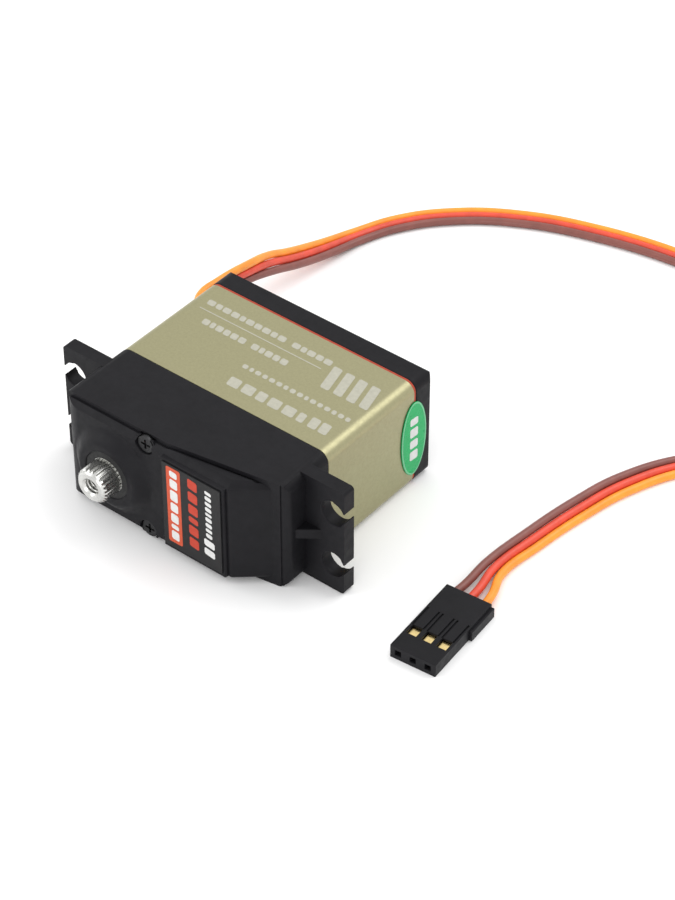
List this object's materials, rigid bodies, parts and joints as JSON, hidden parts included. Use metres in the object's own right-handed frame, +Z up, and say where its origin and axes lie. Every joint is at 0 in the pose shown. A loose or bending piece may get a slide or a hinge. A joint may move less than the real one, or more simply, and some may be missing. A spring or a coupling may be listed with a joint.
{
  "type": "servo motor",
  "caption": "Geared rotary servo in a black plastic and champagne metal case, with slotted mounting ears, a splined output shaft and a flat lead that ends in a plug.",
  "frame": {"origin": "under the middle of the case, on the surface that the servo lies on, at the middle of its length over the ears and of its depth from shaft tip to rear cover", "axes": "+X along the case, away from the output shaft's end; -Y out along the output shaft, +Y to the rear cover; +Z up through the case's width, as it lies on its wide side"},
  "size_m": [0.1001, 0.1153, 0.0201],
  "materials": {
    "black_plastic": "fine moulded texture, satin",
    "champagne_aluminium": "bead-blasted, champagne anodised, satin",
    "red_seal": "smooth",
    "black_screw": "black oxide",
    "label_print": null,
    "green_sticker": "printed film, plain",
    "black_rubber": "matt",
    "bearing_steel": "ground and polished",
    "steel": "machined",
    "gear_brass": "hobbed",
    "dark_magnet": "nickel plated",
    "stator_steel": "laminated",
    "copper": "enamelled copper wire",
    "can_steel": "drawn and plated",
    "blue_plastic": "moulded",
    "board_green": "solder resist",
    "chip_black": "moulded epoxy",
    "wire_brown": "extruded insulation",
    "wire_red": "extruded insulation",
    "wire_orange": "extruded insulation",
    "plug_plastic": "moulded, semi-gloss",
    "contact_gold": "gold plated"
  },
  "bodies": {
    "housing": {"gear_cover": "black_plastic", "ear_case": "black_plastic", "middle_case": "champagne_aluminium", "seal_gasket": "red_seal", "rear_cover": "black_plastic", "cover_screws": "black_screw", "case_screws": "black_screw", "label_plate": "label_print", "side_sticker": "green_sticker", "lead_grommet": "black_rubber", "shaft_seal": "black_rubber", "front_bearing_outer": "bearing_steel", "front_bearing_balls": "bearing_steel", "rear_bearing_outer": "bearing_steel", "rear_bearing_balls": "bearing_steel", "middle_pin": "bearing_steel", "motor_stator": "stator_steel", "motor_windings": "copper", "motor_can": "can_steel", "motor_end_bell": "black_plastic", "motor_bearings": "bearing_steel", "motor_screws": "can_steel", "motor_leads": "copper", "sensor_body": "blue_plastic", "sensor_pins": "contact_gold", "circuit_board": "board_green", "power_transistors": "chip_black", "control_chip": "chip_black", "bulk_capacitor": "blue_plastic", "lead_brown": "wire_brown", "lead_red": "wire_red", "lead_orange": "wire_orange", "plug_housing": "plug_plastic", "plug_contacts": "contact_gold"},
    "output": {"output_shaft": "steel", "front_bearing_inner": "bearing_steel", "rear_bearing_inner": "bearing_steel", "sensor_shaft": "steel"},
    "gear_3": {"gear_3": "steel"},
    "gear_2": {"gear_2": "gear_brass"},
    "gear_1": {"gear_1": "gear_brass"},
    "rotor": {"motor_shaft": "bearing_steel", "motor_magnet": "dark_magnet", "motor_pinion": "gear_brass"}
  },
  "joints": [
    {"name": "output_turn", "type": "hinge", "parent": "housing", "child": "output", "pos_m": [-0.00995, 0, 0.01005], "axis": [0, 1, 0], "range_deg": [-90, 90]},
    {"name": "gear_3_turn", "type": "hinge", "parent": "housing", "child": "gear_3", "pos_m": [0.0003, 0, 0.01005], "axis": [0, 1, 0], "range_deg": [-280, 280]},
    {"name": "gear_2_turn", "type": "hinge", "parent": "housing", "child": "gear_2", "pos_m": [-0.00995, 0, 0.01005], "axis": [0, 1, 0], "range_deg": [-840, 840]},
    {"name": "gear_1_turn", "type": "hinge", "parent": "housing", "child": "gear_1", "pos_m": [0.0003, 0, 0.01005], "axis": [0, 1, 0], "range_deg": [-2795, 2795]},
    {"name": "rotor_turn", "type": "hinge", "parent": "housing", "child": "rotor", "pos_m": [0.01005, 0, 0.01005], "axis": [0, 1, 0], "range_deg": [-13700, 13700]}
  ],
  "couplings": [
    {"joint": "gear_3_turn", "follows": "output_turn", "ratio": -3.1},
    {"joint": "gear_2_turn", "follows": "output_turn", "ratio": 9.3},
    {"joint": "gear_1_turn", "follows": "output_turn", "ratio": -31},
    {"joint": "rotor_turn", "follows": "output_turn", "ratio": 152.18}
  ]
}
